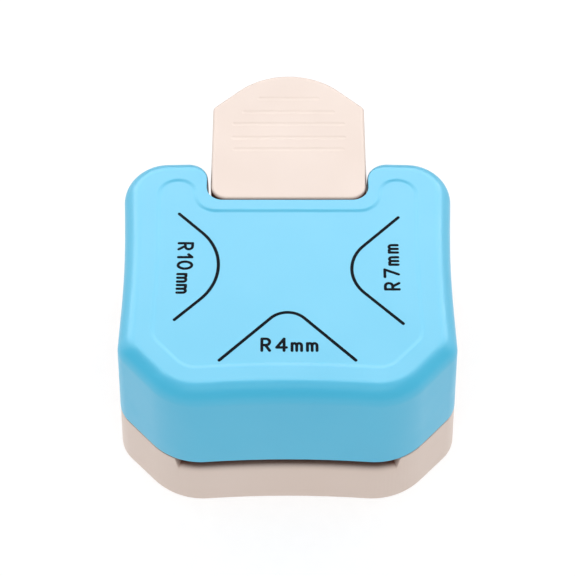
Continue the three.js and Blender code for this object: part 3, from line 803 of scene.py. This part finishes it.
def groove(y, half):
    """A shallow rounded cross groove with round ends, as a cutter above the grip's face."""
    width, depth = GROOVE_WIDTH, GROOVE_DEPTH
    spare = 0.25  # the cutter's extra half-width above the face
    ceiling = TONGUE_TOP + 0.09
    top = TONGUE_TOP + 1.0
    steps, rows = 10, 24
    radius = (width * width / 4 + depth * depth) / (2 * depth)
    centre_z = TONGUE_TOP - depth + radius
    reach = math.asin(min(1.0, (width / 2 + spare) / radius))
    profile = []
    for i in range(steps + 1):
        angle = -reach + 2 * reach * i / steps
        profile.append((radius * math.sin(angle), centre_z - radius * math.cos(angle)))
    straight = half - width / 2
    loops = []
    for i in range(rows + 1):
        angle = math.pi / 2 * (i / rows * 2 - 1)
        end = straight if angle > 0 else -straight
        x = TONGUE_X + end + (width / 2 + spare) * math.sin(angle)
        narrow = max(math.cos(angle), 0.02)
        loop = [(x, y + dy * narrow, ceiling - (ceiling - z) * narrow) for dy, z in profile]
        loop += [(x, y + dy * narrow, top) for dy in (profile[-1][0], profile[0][0])]
        loops.append(loop)
    return skinned("groove", loops)


# ---------------------------------------------------------------- printed marks

def arc(cx, cy, rx, ry, start, end, steps=10):
    angles = [math.radians(start + (end - start) * i / steps) for i in range(steps + 1)]
    return [(cx + rx * math.cos(a), cy + ry * math.sin(a)) for a in angles]


def ribbon(name, path, width, closed=False):
    """A printed line of one width with round ends, as a thin solid set into the panel."""
    half = width / 2
    z0, z1 = TOP_Z - PANEL_DEPTH - 0.04, TOP_Z - PANEL_DEPTH + INK_FILM
    count = len(path)
    left, right = [], []
    for i, (x, y) in enumerate(path):
        x0, y0 = path[i - 1] if i > 0 or closed else path[i]
        x1, y1 = path[(i + 1) % count] if i < count - 1 or closed else path[i]
        ux, uy = unit(x - x0, y - y0) if (x0, y0) != (x, y) else unit(x1 - x, y1 - y)
        vx, vy = unit(x1 - x, y1 - y) if (x1, y1) != (x, y) else (ux, uy)
        mx, my = unit(ux + vx, uy + vy)
        reach = half / max(ux * mx + uy * my, 0.4)
        left.append((x - my * reach, y + mx * reach))
        right.append((x + my * reach, y - mx * reach))
    if closed:
        band = prism(name, right, z0, z1)
        return combine(band, "DIFFERENCE", prism("inside", left, z0 - 1, z1 + 1))
    caps = []
    for (x, y), (nx, ny) in ((path[-1], path[-2]), (path[0], path[1])):
        heading = math.degrees(math.atan2(y - ny, x - nx))
        caps.append(arc(x, y, half, half, heading - 90, heading + 90, 12)[1:-1])
    return prism(name, right + caps[0] + left[::-1] + caps[1], z0, z1)


def unit(x, y):
    length = math.hypot(x, y)
    return x / length, y / length


def corner_mark(radius, x, y, turn, leg):
    """A paper corner's two edges and its rounding; the corner points along the turn."""
    cos, sin = math.cos(turn), math.sin(turn)
    centre = -radius * math.sqrt(2)
    reach = leg / math.sqrt(2)
    path = [(-reach, -reach)] + arc(centre, 0, radius, radius, -45, 45, 40) + [(-reach, reach)]
    return [(x + u * cos - v * sin, y + u * sin + v * cos) for u, v in path]


def hump(x0, x1, top, half):
    radius = (x1 - x0) / 2
    return arc((x0 + x1) / 2, top - radius * 1.1, radius, radius * 1.1, 180, 0) + [(x1, half)]


def glyph(character):
    """Centre lines of one plain stroke letter."""
    a, cap, low = STROKE / 2, CAP_HEIGHT - STROKE / 2, X_HEIGHT - STROKE / 2
    if character == "R":
        middle = cap * 0.52
        bend = arc(0.92, (cap + middle) / 2, 0.62, (cap - middle) / 2, 90, -90)
        return [[(a, a), (a, cap)], [(a, cap)] + bend + [(a, middle)], [(0.85, middle), (1.55, a)]]
    if character == "4":
        return [[(1.48, a), (1.48, cap)], [(1.48, cap), (0.25, 0.88)], [(0.25, 0.88), (1.88, 0.88)]]
    if character == "7":
        return [[(a, cap), (1.8, cap)], [(1.8, cap), (0.8, a)]]
    if character == "1":
        return [[(a, cap - 0.62), (0.85, cap)], [(0.85, cap), (0.85, a)]]
    if character == "0":
        return [arc(0.95, (a + cap) / 2, 0.74, (cap - a) / 2, 0, 360, 36)[:-1]]
    return [[(a, a), (a, low)], hump(a, 1.02, low, a), hump(1.02, 1.83, low, a)]


def label(name, text, starts, place):
    """A radius label: each letter starts at its own distance along the line of text."""
    strokes = []
    for character, start in zip(text, starts):
        for path in glyph(character):
            placed = [place(start + u, v) for u, v in path]
            strokes.append(ribbon(name, placed, STROKE, closed=character == "0"))
    return combine(strokes[0], "UNION", *strokes[1:])


def printed_marks(material):
    pieces = []
    for name, radius, x, y, turn in CORNER_MARKS:
        path = corner_mark(radius, x, y, math.radians(turn), MARK_LEG)
        pieces.append(ribbon("mark_" + name, path, MARK_WIDTH))
    for name, text, starts, place in LABELS:
        pieces.append(label(name, text, starts, place))
    for piece in pieces:
        dress(piece, material)
    return pieces


# ---------------------------------------------------------------- camera, lights, floor

def studio():
    scene = bpy.context.scene
    scene.view_settings.view_transform = "Standard"
    scene.view_settings.look = "None"
    elevation = math.radians(54.36)
    target = Vector((0.00008, (PLAN_SHIFT - 4.22) * MM, TOP_Z * MM))
    distance = 0.286
    back = Vector((0.0, -math.cos(elevation), math.sin(elevation)))
    data = bpy.data.cameras.new("camera")
    data.sensor_width = 36.0
    data.lens = 105.46
    data.clip_start = 0.01
    camera = bpy.data.objects.new("camera", data)
    camera.location = target + back * distance
    camera.rotation_euler = (math.pi / 2 - elevation, 0.0, 0.0)
    scene.collection.objects.link(camera)
    scene.camera = camera

    world = bpy.data.worlds.new("studio")
    world.use_nodes = True
    background = world.node_tree.nodes["Background"].inputs
    background["Color"].default_value = (0.98, 0.98, 1.0, 1.0)
    background["Strength"].default_value = 0.42
    scene.world = world

    # a soft key above the front, and a white sheet behind that shows only as a reflection
    for name, place, width, height, power, seen in (
        ("key", (0.0, -0.2, 0.67), 0.5, 0.5, 2.3, "diffuse"),
        ("sheet", (0.0, 0.46, 0.46), 1.3, 0.6, 10.8, "glossy"),
        ("left_sheet", (-0.46, 0.26, 0.2), 0.5, 0.4, 0.85, "both"),
        ("right_sheet", (0.46, 0.26, 0.2), 0.5, 0.4, 0.85, "both"),
    ):
        light = bpy.data.lights.new(name, "AREA")
        light.shape = "RECTANGLE"
        light.size = width
        light.size_y = height
        light.energy = power
        lamp = bpy.data.objects.new(name, light)
        lamp.location = place
        lamp.rotation_euler = (-Vector(place)).to_track_quat("-Z", "Y").to_euler()
        lamp.visible_glossy = seen != "diffuse"
        lamp.visible_diffuse = seen != "glossy"
        scene.collection.objects.link(lamp)

    bm = bmesh.new()
    reach = 3.0
    corners = ((-reach, -reach), (reach, -reach), (reach, reach), (-reach, reach))
    bm.faces.new([bm.verts.new((x, y, 0.0)) for x, y in corners])
    floor = new_object("floor", bm)
    n = Nodes("floor")
    paper = n.noise(400.0, 2.0)
    dark, light = (0.39, 0.39, 0.39, 1.0), (0.41, 0.41, 0.41, 1.0)
    tone = n.mix(n.ramp(paper, 0.0, 1.0, 0.3, 0.7), dark, light)
    n.set(Base_Color=tone, Roughness=0.9,
          Emission_Color=(1.0, 1.0, 1.0, 1.0), Emission_Strength=0.64)
    dress(floor, n.material)


# ---------------------------------------------------------------- the scene

studio()

BLUE = blue_plastic()
IVORY = ivory_plastic()
CARRIAGE = carriage_plastic()
PLATE = plate_steel()
TOOL = tool_steel()
SCREW = screw_steel()
SPRING = spring_steel()
INK = printed_ink()

cover = top_cover(BLUE)
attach(cover, "base")
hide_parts("top_cover")

base = base_shell(IVORY)
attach(base, "base")
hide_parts("base_shell")

hand_lever = lever(IVORY)
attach(hand_lever, "lever")
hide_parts("lever")

for side in ("left", "right"):
    node = "return_spring_" + side
    coil = coil_spring(node, SPRING)
    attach(coil, "base")
    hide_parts(node)
    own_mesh(coil)

for mark in printed_marks(INK):
    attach(mark, "base")

CARRIED = {
    "ivory_plastic": IVORY,
    "carriage_plastic": CARRIAGE,
    "plate_steel": PLATE,
    "tool_steel": TOOL,
    "screw_steel": SCREW,
    "spring_steel": SPRING,
}
REPLACED = {"top_cover", "base_shell", "lever", "return_spring_left", "return_spring_right"}
for part in frame["record"]["subparts"]:
    if part["node"] not in REPLACED:
        node = frame["nodes"][part["node"]]
        for slot in node.material_slots:
            slot.material = CARRIED[part["material_slot"]]
